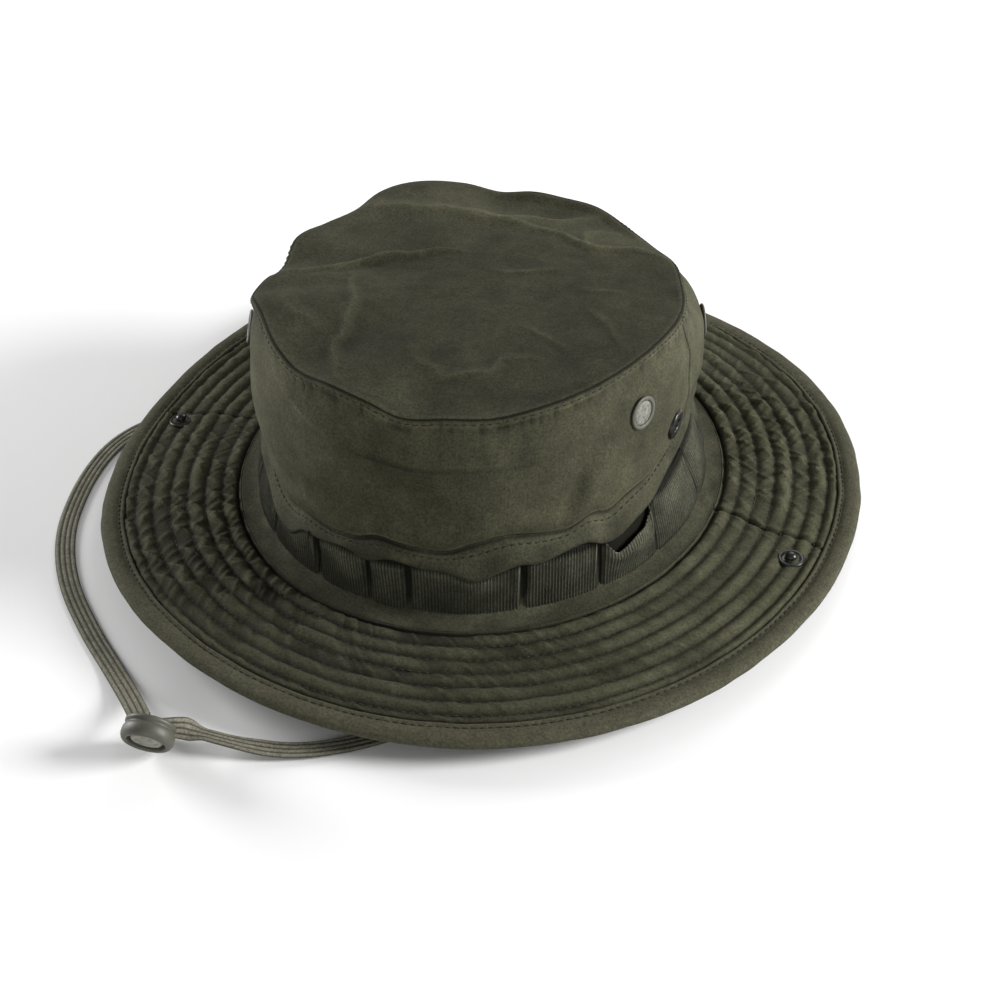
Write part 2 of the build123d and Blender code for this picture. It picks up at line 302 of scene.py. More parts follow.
def math_node(tree, operation, first, second):
    made = node(tree, "Math", operation=operation)
    for socket, value in zip(made.inputs, (first, second)):
        if isinstance(value, (int, float)):
            socket.default_value = value
        else:
            tree.links.new(value, socket)
    return made.outputs["Value"]


def multiplied(tree, first, second):
    """One colour times another."""
    made = node(tree, "Mix", data_type="RGBA", blend_type="MULTIPLY")
    made.inputs[0].default_value = 1.0
    tree.links.new(first, made.inputs[6])
    tree.links.new(second, made.inputs[7])
    return made.outputs[2]


def bump(tree, shader, height, distance, strength, after=None):
    """Relief up to distance metres, over the relief that came before it."""
    made = node(tree, "Bump", Strength=strength, Distance=distance)
    tree.links.new(height, made.inputs["Height"])
    if after is not None:
        tree.links.new(after, made.inputs["Normal"])
    tree.links.new(made.outputs["Normal"], shader.inputs["Normal"])
    return made.outputs["Normal"]


def stripes(tree, direction, pitch, distortion=0.0):
    """Waves of height 0 to 1 along the sheet's own u (X) or v (Y), pitch metres apart."""
    uv = node(tree, "UVMap", uv_map="cloth")
    wave = node(tree, "TexWave", Scale=0.314159 / pitch, Distortion=distortion,
                wave_type="BANDS", bands_direction=direction)
    tree.links.new(uv.outputs["UV"], wave.inputs["Vector"])
    return wave.outputs["Fac"]


def weave_height(tree, thread):
    """Crossing threads, thread metres apart."""
    return math_node(tree, "MULTIPLY", stripes(tree, "X", thread, 0.8), stripes(tree, "Y", thread, 0.8))


def cloth_material(name, dark, light, thread=0.0005, rib=None):
    """Washed cotton cloth: its colour drifts slowly and mottles finely, over a plain weave.
    rib is the direction and pitch of a ribbed weave, whose grooves get painted shade."""
    material, tree, shader = new_material(name)
    drift = ramp(tree, noise_node(tree, 28.0, 3.0), (0.3, dark), (0.72, light))
    mottle = ramp(tree, noise_node(tree, 1100.0, 2.0, 0.7), (0.3, 0.62), (0.7, 1.33))
    slubs = ramp(tree, noise_node(tree, 260.0, 3.0), (0.35, 0.9), (0.65, 1.1))
    color = multiplied(tree, drift, mottle)
    color = multiplied(tree, color, slubs)
    if rib:
        # Painted shade in the grooves between the ribs.
        rib_groove_shade = ramp(tree, stripes(tree, *rib), (0.12, 0.42), (0.5, 1.05))
        color = multiplied(tree, color, rib_groove_shade)
    # The attribute read here paints shade and highlights into the cloth's colour, with some real patchiness
    # of tone.
    marks = node(tree, "Attribute", attribute_name="shade_and_wear")
    patchy = math_node(tree, "ADD", noise_node(tree, 90.0, 3.0), 0.5)
    shade_and_wear_amount = math_node(tree, "MULTIPLY", math_node(tree, "MULTIPLY", marks.outputs["Fac"], patchy), 0.5)
    shade_and_wear_amount = ramp(tree, math_node(tree, "ADD", shade_and_wear_amount, 0.5), (0.0, 0.2), (0.5, 1.0), (1.0, 2.0))
    color = multiplied(tree, color, shade_and_wear_amount)
    tree.links.new(color, shader.inputs["Base Color"])
    shader.inputs["Roughness"].default_value = 0.88
    shader.inputs["Specular IOR Level"].default_value = 0.15
    coarse = bump(tree, shader, noise_node(tree, 420.0, 4.0), 0.00022, 0.5)
    bump(tree, shader, weave_height(tree, thread), 0.00008, 0.6, coarse)
    return material


def plastic_material(name, dark, light, roughness, scale=60.0, metallic=0.0):
    """Moulded plastic or painted metal, with fine grain and handling marks."""
    material, tree, shader = new_material(name)
    color = ramp(tree, noise_node(tree, scale, 5.0), (0.35, dark), (0.7, light))
    tree.links.new(color, shader.inputs["Base Color"])
    gloss = node(tree, "MapRange", **{"To Min": roughness - 0.1, "To Max": roughness + 0.12})
    tree.links.new(noise_node(tree, 300.0), gloss.inputs["Value"])
    tree.links.new(gloss.outputs["Result"], shader.inputs["Roughness"])
    shader.inputs["Metallic"].default_value = metallic
    bump(tree, shader, noise_node(tree, 1500.0), 0.00004, 0.5)
    return material


RIBS = 470           # ribs of the webbing in one turn of the hat
ROUND = 92.0         # radius, in millimetres, that turns an angle into a length along the band
cloth = cloth_material("ripstop_cloth", (0.042, 0.041, 0.024), (0.054, 0.0525, 0.032))
# brim_cloth and band_cloth are darker copies of the crown's ripstop cloth: painted shade for the brim and the
# lower band.
brim_cloth = cloth_material("brim_cloth", (0.036, 0.0355, 0.020), (0.048, 0.047, 0.029))
binding_cloth = cloth_material("binding_cloth", (0.052, 0.050, 0.031), (0.068, 0.065, 0.042))
band_cloth = cloth_material("band_cloth", (0.036, 0.035, 0.021), (0.047, 0.046, 0.029))
lining_cloth = cloth_material("lining_cloth", (0.045, 0.043, 0.030), (0.056, 0.053, 0.038))
felt = cloth_material("felt", (0.075, 0.072, 0.058), (0.1, 0.096, 0.08), thread=0.0009)
grosgrain = cloth_material("grosgrain", (0.046, 0.047, 0.032), (0.062, 0.063, 0.044),
                           rib=("X", ROUND * tau / RIBS * MM))
strap_braid = cloth_material("strap_braid", (0.150, 0.143, 0.108), (0.20, 0.191, 0.148), rib=("Y", 0.00195))
thread_material = cloth_material("thread", (0.027, 0.026, 0.017), (0.036, 0.035, 0.023))
lock_plastic = plastic_material("lock_plastic", (0.060, 0.058, 0.043), (0.085, 0.082, 0.062), 0.5)
button_plastic = plastic_material("button_plastic", (0.12, 0.117, 0.09), (0.28, 0.27, 0.22), 0.42, 500.0)
vent_paint = plastic_material("vent_paint", (0.055, 0.053, 0.039), (0.075, 0.073, 0.056), 0.5)
mesh_paint = plastic_material("mesh_paint", (0.07, 0.07, 0.055), (0.22, 0.215, 0.18), 0.6, 900.0)
snap_paint = plastic_material("snap_paint", (0.02, 0.02, 0.018), (0.05, 0.05, 0.045), 0.32, 200.0, 0.7)
spring_metal = plastic_material("spring_metal", (0.4, 0.4, 0.39), (0.5, 0.5, 0.49), 0.3, 100.0, 1.0)


def finish(obj, material, slot, *nodes):
    """Give a piece its material and hide the CAD nodes it stands for; slot is not used."""
    obj.data.materials.clear()
    obj.data.materials.append(material)
    if nodes:
        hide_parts(*nodes)


# ---- the chin strap and its lock
STRAP_ROUTE = (     # metres, from the left seam out, along the ground, through the lock and back
    (-0.0910, -0.0040, 0.0081), (-0.0995, -0.0042, 0.0050), (-0.1100, -0.0036, 0.0018),
    (-0.1240, -0.0022, 0.0007), (-0.1380, -0.0045, 0.0007), (-0.1490, -0.0140, 0.0007),
    (-0.1546, -0.0295, 0.0007), (-0.1546, -0.0470, 0.0007), (-0.1505, -0.0680, 0.0007),
    (-0.1420, -0.0925, 0.0007), (-0.1255, -0.1170, 0.0007), (-0.1025, -0.1385, 0.0007),
    (-0.0825, -0.1540, 0.0008), (-0.0675, -0.1670, 0.0032), (-0.0595, -0.1754, 0.0076),
    (-0.0550, -0.1807, 0.0118), (-0.0505, -0.1850, 0.0125), (-0.0450, -0.1835, 0.0120),
    (-0.0403, -0.1786, 0.0101), (-0.0370, -0.1768, 0.0078), (-0.0300, -0.1745, 0.0052),
    (-0.0190, -0.1723, 0.0034), (-0.0060, -0.1682, 0.0014), (0.0085, -0.1600, 0.0007),
    (0.0235, -0.1470, 0.0007), (0.0400, -0.1295, 0.0007), (0.0570, -0.1060, 0.0007),
    (0.0715, -0.0780, 0.0007), (0.0805, -0.0500, 0.0007), (0.0848, -0.0310, 0.0014),
    (0.0868, -0.0190, 0.0042), (0.0876, -0.0085, 0.0081),
)
STRAP_WIDTH, STRAP_HALF_THICK, STRAP_RIBS = 7.8, 0.58, 4
LOCK_ON_ROUTE = (-0.0485, -0.184, 0.0122)      # metres


def strap_centre_line():
    """Points along the route's smooth line, in metres."""
    curve = bpy.data.curves.new("strap_route", "CURVE")
    curve.dimensions, curve.resolution_u = "3D", 16
    spline = curve.splines.new("NURBS")
    spline.points.add(len(STRAP_ROUTE) - 1)
    for point, place in zip(spline.points, STRAP_ROUTE):
        point.co = (*place, 1)
    spline.order_u, spline.use_endpoint_u = 3, True
    carrier = linked("strap_route", curve)
    line = bpy.data.meshes.new_from_object(carrier)
    points = np.array([vertex.co[:] for vertex in line.vertices])
    bpy.data.objects.remove(carrier)
    return points


def make_strap():
    """A flat braid with four ribs a side, turned on its edge where it leaves the lock."""
    path = strap_centre_line()
    steps = np.linalg.norm(np.diff(path, axis=0), axis=1)
    walked = np.concatenate(([0], np.cumsum(steps)))
    forward = unit(np.gradient(path, axis=0))
    across = unit(np.cross(forward, (0, 0, 1)))
    lock_at = walked[np.argmin(np.linalg.norm(path - LOCK_ON_ROUTE, axis=1))]
    past = walked - lock_at
    roll = radians(70) * ease(past, -0.012, 0.004) * (1 - ease(past, 0.008, 0.020))
    roll = roll - radians(14) * ease(past, 0.008, 0.020) * (1 - ease(past, 0.026, 0.042))
    wide = across * np.cos(roll)[:, None] + np.cross(forward, across) * np.sin(roll)[:, None]
    flat = np.cross(wide, forward)
    share = np.linspace(-1, 1, 8 * STRAP_RIBS + 1)
    rib = np.abs(np.cos(share * pi * STRAP_RIBS / 2 + pi / 2))
    swell = STRAP_HALF_THICK * (0.5 + 0.5 * rib) * (1 - share**16)
    side = np.concatenate((share, share[-2:0:-1])) * STRAP_WIDTH / 2
    lift = np.concatenate((swell, -swell[-2:0:-1]))
    rings = path[:, None] + (wide[:, None] * side[None, :, None] + flat[:, None] * lift[None, :, None]) * MM
    uv = stacked(walked[:, None] / MM, np.concatenate((share, 2 - share[-2:0:-1])) * STRAP_WIDTH / 2)
    strap = sheet_object("chin_strap", rings / MM, uv, closed=True, flip=True)
    close_ends(strap)
    finish(strap, strap_braid, "braided_strap", "chin_strap_left", "chin_strap_right")
    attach(strap, "hat")
    return strap, path


def close_ends(obj):
    """Cap the two open ends of a closed tube of rings."""
    work = bmesh.new()
    work.from_mesh(obj.data)
    bmesh.ops.holes_fill(work, edges=[edge for edge in work.edges if edge.is_boundary], sides=0)
    bmesh.ops.recalc_face_normals(work, faces=work.faces)
    work.to_mesh(obj.data)
    work.free()


strap, strap_path = make_strap()
LOCK_CENTRE, LOCK_NORMAL, LOCK_ACROSS = (-48.5, -186.0, 10.9), (0.155, -0.894, -0.414), (0.985, 0.171, 0.0)
lock_place = place_on(LOCK_CENTRE, LOCK_NORMAL, LOCK_ACROSS)

LOCK_PROFILE = (     # radius and height, round the body and down into its recess
    (0.0, -4.0), (8.0, -4.0), (8.7, -3.8), (9.0, -3.3), (8.95, -2.5), (8.6, -2.15), (8.35, -1.8), (8.5, -1.4),
    (8.9, -1.0), (9.2, -0.3), (9.35, 0.7), (9.35, 1.7), (9.15, 2.6), (8.75, 3.4), (8.2, 3.9), (7.6, 4.0),
    (7.1, 3.85), (6.8, 3.4), (6.75, 2.6), (6.75, -0.6), (0.0, -0.6))
BUTTON_PROFILE = (
    (0.0, 0.6), (5.9, 0.6), (5.9, 2.0), (5.75, 2.6), (5.4, 3.05), (4.8, 3.2), (4.3, 3.1),
    (3.9, 2.8), (3.2, 2.75), (2.6, 3.0), (1.4, 3.25), (0.0, 3.3))
lock_body = lathe_object("cord_lock_body", LOCK_PROFILE, lock_place, 72)
finish(lock_body, lock_plastic, "lock_plastic", "lock_body")
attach(lock_body, "hat")
lock_button = lathe_object("cord_lock_button", BUTTON_PROFILE, lock_place, 64)
finish(lock_button, button_plastic, "button_plastic", "lock_button")
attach(lock_button, "button")
lock_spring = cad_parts["lock_spring"]
lock_spring.data.materials.clear()
lock_spring.data.materials.append(spring_metal)


# ---- shape of the crown and the brim
SEAM_X, SEAM_Y, SEAM_Z = 95.0, 104.6, 11.0
BRIM_WIDTH, BRIM_THICKNESS = 56.0, 2.6
EDGE_MEAN = 9.4
EDGE_WAVES = ((1, 0.3, -1.4), (2, -0.9, -0.7), (3, 2.8, 1.9), (4, -1.1, -0.3))
STITCH_ROWS = (1.6, 8.4, 15.4, 22.4, 29.3, 36.2, 43.0)
BINDING_EDGE = 47.5
CROWN_CLOTH = 0.7
WEBBING_FOOT = 13.6
SEAM_ANGLE = radians(2.6)      # the side seams of the brim sit a little behind the hat's middle

# Heights and widths round the crown, against the angle in degrees from +X by way of +Y.
top_seam_height = ring(
    (2, 100), (18, 97), (35, 94), (45, 92), (57, 90.5), (76, 90), (87, 90), (98, 91.5), (109, 90),
    (119, 92), (144, 94), (152, 92), (163, 92), (174, 94), (185, 91), (192, 93.5), (198, 97),
    (207, 98.5), (213, 101.5), (220, 102.5), (235, 101), (242, 99), (257, 101), (267, 99.5),
    (274, 96.5), (286, 98), (297, 98), (305, 99.5), (316, 101), (328, 102), (342, 102))
top_seam_share = ring(
    (2, 0.93), (18, 0.89), (35, 0.88), (45, 0.86), (57, 0.865), (66, 0.885), (76, 0.92), (109, 0.92),
    (119, 0.97), (144, 1.0), (152, 0.97), (163, 0.98), (174, 0.99), (185, 0.955), (198, 0.965),
    (207, 1.005), (220, 0.985), (235, 1.0), (242, 1.0), (316, 1.0), (328, 0.98), (342, 0.956))
strip_seam_height = ring(
    (0, 50), (20, 44), (60, 42), (90, 43), (120, 41), (150, 42), (180, 40), (210, 38), (225, 37),
    (236, 36), (247, 39), (258, 39.2), (263, 40.5), (269, 44), (274, 43), (279, 42), (286, 42),
    (292, 45.5), (299, 48), (304, 47.3), (309, 46), (314, 45.3), (320, 48.4), (325, 46.6), (330, 49),
    (338, 49.5), (346, 49.5))
strip_foot_height = ring(
    (0, 42), (20, 37), (60, 35), (90, 36), (120, 34), (150, 35), (180, 34), (210, 32), (225, 31),
    (236, 25.5), (241, 26), (246, 32), (253, 34), (261, 37), (267, 35), (272, 38), (279, 36.5),
    (286, 35), (292, 30.5), (298, 34), (302, 36.2), (307, 35.5), (313, 38), (319, 38.5), (323, 35),
    (326, 34), (334, 37), (342, 37.5), (350, 42))
SIDE_OVALS = (      # half x, half y and height
    (87.6, 95.6, 38.0), (87.8, 95.8, 50.0), (87.4, 95.4, 66.0), (86.8, 94.8, 84.0), (84.0, 92.0, 100.0))
TOP_CENTRE = (-1.0, -1.0)
MM_PER_DEGREE = 1.6       # along the crown's side
# How far the wall tucks in at its foot, and leans in half way up.
wall_tuck = ring(
    (0, 4.4), (20, 4.4), (45, 2.5), (90, 1.0), (150, 1.5), (180, 2.6), (200, 3.6), (215, 4.2),
    (232, 3.2), (245, 1.2), (260, 0.0), (300, 0.0), (320, 0.2), (333, 0.9), (345, 3.2))
wall_lean = ring(
    (0, 2.8), (20, 3.0), (60, 1.5), (120, 0.0), (200, -0.7), (240, 0.0), (300, 0.0), (320, 0.7),
    (345, 2.0))


def side_oval(height):
    """Half axes of the crown's wall at a height."""
    half_x, half_y, level = np.array(SIDE_OVALS).T
    return np.interp(height, level, half_x), np.interp(height, level, half_y)


def waist(theta, height):
    """How far the band, the webbing and the sweatband narrow towards the crown, at a height."""
    return (1.3 * wall_tuck(theta) + wall_lean(theta)) * ease(height, 13.0, 40.0)


def edge_height(theta):
    """Height of the brim's wavy outer edge."""
    return EDGE_MEAN + sum(a * np.cos(n * theta) + b * np.sin(n * theta) for n, a, b in EDGE_WAVES)


def brim_level(theta, width):
    """Height of the brim's smooth top face, width out from the crown seam."""
    share = np.clip(width / BRIM_WIDTH, -0.2, 1.1)
    return SEAM_Z + (edge_height(theta) - SEAM_Z) * np.sign(share) * np.abs(share) ** 1.15


def brim_points(theta, width, lift):
    """The cloth's points on the brim, standing lift off its smooth top face."""
    return stacked((SEAM_X + width) * np.cos(theta), (SEAM_Y + width) * np.sin(theta),
                   brim_level(theta, width) + lift)


pucker_strength = ring(
    (0, 0.5), (20, 1.1), (45, 1.2), (80, 0.8), (120, 0.8), (150, 0.8), (175, 0.7), (195, 1.0), (215, 1.4),
    (240, 1.35), (262, 0.95), (285, 0.8), (310, 0.6), (335, 0.4))
# Painted light and shade on the brim cloth round the hat: 1 darkens it most, at the front, and below 0 it is
# paler, at the right.
brim_painted_shade = ring(
    (0, -0.5), (30, -0.1), (90, 0.0), (150, 0.0), (190, 0.0), (225, 0.35), (265, 1.0), (300, 0.6),
    (325, -0.3))


def quilting(theta, width, side):
    """How far the quilted cloth stands off the brim's smooth face."""
    rows = np.array(STITCH_ROWS + (BINDING_EDGE + 0.6,))
    index = np.clip(np.searchsorted(rows, width) - 1, 0, len(rows) - 2)
    share = np.clip((width - rows[index]) / (rows[index + 1] - rows[index]), 0, 1)
    puff = 1 - np.abs(2 * share - 1) ** 2.0
    uneven = 1 + 0.5 * round_noise(theta, index * 40.0, 46, 40.0, 3 + side)
    skewed = theta + 0.009 * np.sin(2 * theta + 0.6) * width
    folds = round_noise(skewed, index * 2.4 + width * 0.12, 115, 5.0, 11 + side)
    fine = round_noise(theta - 0.006 * width, index * 3.0 + width * 0.2, 190, 5.0, 23 + side)
    pucker = (1 - np.abs(folds)) ** 5 + 0.6 * (1 - np.abs(fine)) ** 5
    gather = 0.3 + 0.7 * puff
    inside = ease(width, STITCH_ROWS[0] + 0.4, STITCH_ROWS[0] + 2.0)
    piping = 0.8 * bell(width, 1.0, 0.45) - 0.9 * bell(width, 0.1, 0.35) - 0.8 * bell(width, 2.1, 0.4)
    raised = 1.15 * puff * uneven + (pucker - 0.3) * 1.2 * pucker_strength(theta) * gather
    return inside * raised + piping


def side_seam(theta, width):
    """The groove where the brim's front and back halves meet, at each side."""
    groove = 0.0
    for middle, swing in ((SEAM_ANGLE, -0.085), (pi + SEAM_ANGLE, 0.02)):
        line = middle + swing * width / BRIM_WIDTH + radians(0.5) * np.sin(width / 5.0)
        gap = ((theta - line + pi) % tau - pi) * (SEAM_X + width)
        groove = groove - 1.3 * bell(gap, 0.0, 0.6) + 0.35 * bell(gap, 1.8, 1.3)
    return groove


# ---- the brim, in a left and a right half
HALVES = {"left": (pi / 2, 3 * pi / 2), "right": (-pi / 2, pi / 2)}
BRIM_CLOTH = 0.5
BRIM_ROUND = 130.0        # radius that turns an angle into a length along the brim


def bend_with_brim(obj):
    """Bake the piece's placement into its points."""
    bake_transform(obj)


def brim_sheet(name, side, face):
    """One face of the quilted brim: face is 1 for the top cloth and -1 for the underside."""
    theta = np.linspace(*HALVES[side], 460 if face > 0 else 300)[None, :]
    seam_rows, open_rows = (14, 84) if face > 0 else (6, 56)
    width = np.concatenate((np.linspace(-3.0, 0.0, 4), np.linspace(0.2, 3.0, seam_rows),
                            np.linspace(3.4, BINDING_EDGE + 3.0, open_rows)))[:, None]
    lift = quilting(theta, width, 0 if face > 0 else 50) + (side_seam(theta, width) if face > 0 else 0)
    # Painted highlights on the quilted puffs, painted shade in the stitched grooves and puckers, and painted
    # shade just inside the binding.
    shade_and_wear_amount = np.clip((lift - 0.85) * 0.75, -1.0, 0.45) * ease(width, -1.0, 0.0)
    shade_and_wear_amount = shade_and_wear_amount - 0.8 * ease(width, BINDING_EDGE - 1.6, BINDING_EDGE - 0.4)
    # Painted shade round the brim, darkest at the front.
    shade_and_wear_amount = shade_and_wear_amount - 0.42 * brim_painted_shade(theta)
    if face < 0:
        lift = -BRIM_THICKNESS - 0.7 * lift
    hidden = ease(width, BINDING_EDGE - 1.4, BINDING_EDGE + 0.3)
    lift = lift * (1 - hidden) + hidden * (-0.5 if face > 0 else 0.5 - BRIM_THICKNESS)
    points = brim_points(theta, width, lift)
    uv = stacked(theta * BRIM_ROUND, width)
    return sheet_object(name, points, uv, thickness=BRIM_CLOTH, flip=face > 0, rim=False, shade_and_wear=shade_and_wear_amount)


def brim_binding(name, side):
    """Tape folded round the brim's edge, a little puckered by its stitching."""
    theta = np.linspace(*HALVES[side], 420)[None, :]
    section = np.array((
        (47.2, -0.4), (47.2, 0.6), (47.5, 1.1), (48.1, 1.2), (48.7, 0.9), (49.2, 0.6), (49.9, 0.9),
        (50.9, 1.35), (52.4, 1.45), (54.0, 1.25), (55.3, 0.8), (56.1, 0.0), (56.5, -1.0), (56.3, -2.0),
        (55.6, -2.8), (54.2, -3.3), (52.0, -3.5), (50.0, -3.45), (48.2, -3.3), (47.5, -3.1), (47.3, -2.6)))
    width, lift = section[:, :1], section[:, 1:]
    gather = 0.14 * round_noise(theta, width, 150, 4.0, 71) + 0.22 * round_noise(theta, width, 34, 30.0, 72)
    pull = 0.22 * round_noise(theta, width * 0, 90, 4.0, 73)
    points = brim_points(theta, width + pull, lift + gather * np.sign(lift + 1.3))
    uv = stacked(theta * 150.0, width + lift)
    return sheet_object(name, points, uv, thickness=BRIM_CLOTH, flip=True, rim=False)


def stitch_run(name, places, ahead, up, length=2.3, radius=0.26):
    """A row of thread stitches: places, directions ahead and up, one row each."""
    places, ahead, up = (np.asarray(a, float) for a in (places, ahead, up))
    ahead = unit(ahead)
    side = unit(np.cross(ahead, up))
    up = np.cross(side, ahead)
    stations = (
        (-1.0, 0.25, -1.0), (-0.7, 0.85, -0.2), (0.0, 1.0, 0.15), (0.7, 0.85, -0.2), (1.0, 0.25, -1.0))
    turns = np.linspace(0, tau, 6, endpoint=False)
    template = np.array([(along * length / 2, size * radius * 1.25 * np.cos(turn),
                          size * radius * np.sin(turn) + drop * radius)
                         for along, size, drop in stations for turn in turns])
    points = (places[:, None] + template[None, :, :1] * ahead[:, None]
              + template[None, :, 1:2] * side[:, None] + template[None, :, 2:] * up[:, None])
    faces = grid_faces(len(stations), 6, closed=True)
    ends = np.array([(5, 4, 3, 2), (5, 2, 1, 0)])
    ends = np.concatenate((ends, (len(stations) - 1) * 6 + ends[:, ::-1]))
    faces = np.concatenate((faces, ends))
    shift = (np.arange(len(places)) * len(template))[:, None, None]
    return mesh_object(name, points.reshape(-1, 3), (faces[None] + shift).reshape(-1, 4))


def stitches_round(surface, start, stop, pitch, radius_hint):
    """Places, directions and normals of stitches along surface(theta), a curve with a normal."""
    count = int(abs(stop - start) * radius_hint / pitch)
    theta = start + (np.arange(count) + 0.5) * (stop - start) / count
    place, normal = surface(theta)
    after, _ = surface(theta + 0.002)
    return place, after - place, normal


def brim_stitches(name, side):
    """Thread along every quilting row and along the binding."""
    upright = np.array((0, 0, 1.0))
    places, ahead = [], []
    for width in STITCH_ROWS[1:] + (BINDING_EDGE + 1.7,):
        def surface(theta, width=width):
            out = np.full_like(theta, width)
            lift = 0.85 if width > BINDING_EDGE else quilting(theta, out, 0) + 0.06
            return brim_points(theta, out, lift), upright
        found, direction, _ = stitches_round(surface, *HALVES[side], 3.1, SEAM_X + width + 5)
        places.append(found)
        ahead.append(direction)
    places, ahead = np.concatenate(places), np.concatenate(ahead)
    return stitch_run(name, places, ahead, np.tile(upright, (len(places), 1)))


def brim_stiffener(name, side):
    """The felt between the brim's two cloths."""
    theta, width = np.linspace(*HALVES[side], 160)[None, :], np.linspace(-2.0, 52.0, 12)[:, None]
    return sheet_object(name, brim_points(theta, width, -1.0), stacked(theta * BRIM_ROUND, width),
                        thickness=0.6, flip=True)


def make_brim_side(side, middle):
    """All of one side of the brim, with the half of the front or the back that goes with it."""
    top = brim_sheet(f"brim_top_cloth_{side}", side, 1)
    under = brim_sheet(f"brim_under_cloth_{side}", side, -1)
    for piece, layer in ((top, "brim_top"), (under, "brim_underside")):
        finish(piece, brim_cloth, "ripstop_cloth", f"{layer}_{side}_front", f"{layer}_{side}_back",
               f"{layer}_{middle}")
    binding = brim_binding(f"brim_binding_tape_{side}", side)
    finish(binding, binding_cloth, "binding_tape", f"brim_binding_{side}", f"brim_binding_{middle}")
    stitching = brim_stitches(f"brim_stitching_{side}", side)
    finish(stitching, thread_material, "ripstop_cloth")
    stiffener = brim_stiffener(f"brim_stiffener_{side}", side)
    finish(stiffener, felt, "interlining_felt", f"brim_interlining_{side}", f"brim_interlining_{middle}")
    for piece in (top, under, binding, stitching, stiffener):
        bend_with_brim(piece)


make_brim_side("left", "back")
make_brim_side("right", "front")


# ---- the crown
CREASES = (      # path on the crown's top, width and height
    (((-74, -27), (-73, -20), (-56, -9), (-44, 3), (-27, 13), (-14, 19)), 2.2, 1.5),
    (((-69, 41), (-52, 45), (-14, 52), (2, 59), (21, 79)), 4.5, 1.8),
    (((-14, 52), (16, 49), (28, 42), (43, 50), (61, 46)), 2.4, 1.3),
    (((28, 42), (22, 56), (30, 66)), 2.0, 0.7),
    (((-48, -11), (-36, -40), (-30, -66), (-21, -86)), 2.4, 0.9),
    (((3, 6), (25, 19)), 2.0, 0.6),
    (((36, 6), (55, 9)), 2.0, 0.5),
    (((0, -62), (14, -70), (27, -60), (28, -52), (40, -48)), 2.4, 0.8),
    (((25, -28), (48, -37)), 2.2, 0.6),
    (((-60, -48), (-40, -60)), 3.0, 0.6),
    (((44, -8), (60, -20), (66, -30)), 2.4, 0.5),
)


def seam_oval(theta):
    """The line where the crown's top and side meet: x, y and z."""
    share, height = top_seam_share(theta), top_seam_height(theta)
    return np.stack((84.5 * share * np.cos(theta), 92.5 * share * np.sin(theta), height), -1)


def top_surface(theta, reach):
    """The crown's top: reach is 0 at its middle and 1 at the seam."""
    rim = seam_oval(theta)
    x = TOP_CENTRE[0] + reach * (rim[..., 0] - TOP_CENTRE[0])
    y = TOP_CENTRE[1] + reach * (rim[..., 1] - TOP_CENTRE[1])
    middle = 97.0 - 0.05 * y
    z = middle + (rim[..., 2] - middle) * reach**2.2 + 1.2 * (1 - reach**2)
    spots = stacked(x, y, 0 * x)
    drift_x = x + 1.6 * noise(spots / 11.0, 21) + 0.5 * noise(spots / 3.5, 22)
    drift_y = y + 1.6 * noise(spots / 11.0, 23) + 0.5 * noise(spots / 3.5, 24)
    creases = sum(ridge(drift_x, drift_y, path, width, 1.45 * height) for path, width, height in CREASES)
    crests = sum(ridge(drift_x, drift_y, path, 0.9, min(height, 1.0)) for path, _, height in CREASES)
    soft = 1.3 * noise(spots / 42.0, 5) + 0.5 * noise(spots / 17.0, 6) + 0.16 * noise(spots / 6.5, 7)
    calm = 1 - ease(reach, 0.93, 1.0)
    hollow = -2.6 * bell(x, 5, 45) * bell(y, 72, 11)
    z = z + (creases + soft + hollow) * calm - 0.9 * ease(reach, 0.988, 1.0)
    # Painted highlights along the crease crests and painted shade in the hollow towards the back.
    shade_and_wear_amount = (0.14 * creases + 0.42 * crests) * calm - 0.35 * bell(x, 5, 48) * bell(y, 74, 12)
    shade_and_wear_amount = shade_and_wear_amount + 0.2 * noise(spots / 30.0, 8) + 0.12 * noise(spots / 9.0, 9)
    # Painted shade: the top is darker towards its front than at its back.
    shade_and_wear_amount = shade_and_wear_amount - 0.34 * (1 - ease(y, 25, 60))
    # Painted highlight just inside the top seam and painted shade in the seam itself.
    edge = 0.35 * ease(reach, 0.965, 0.985) - 1.5 * ease(reach, 0.992, 0.999)
    return np.stack((x, y, z), -1), shade_and_wear_amount + edge


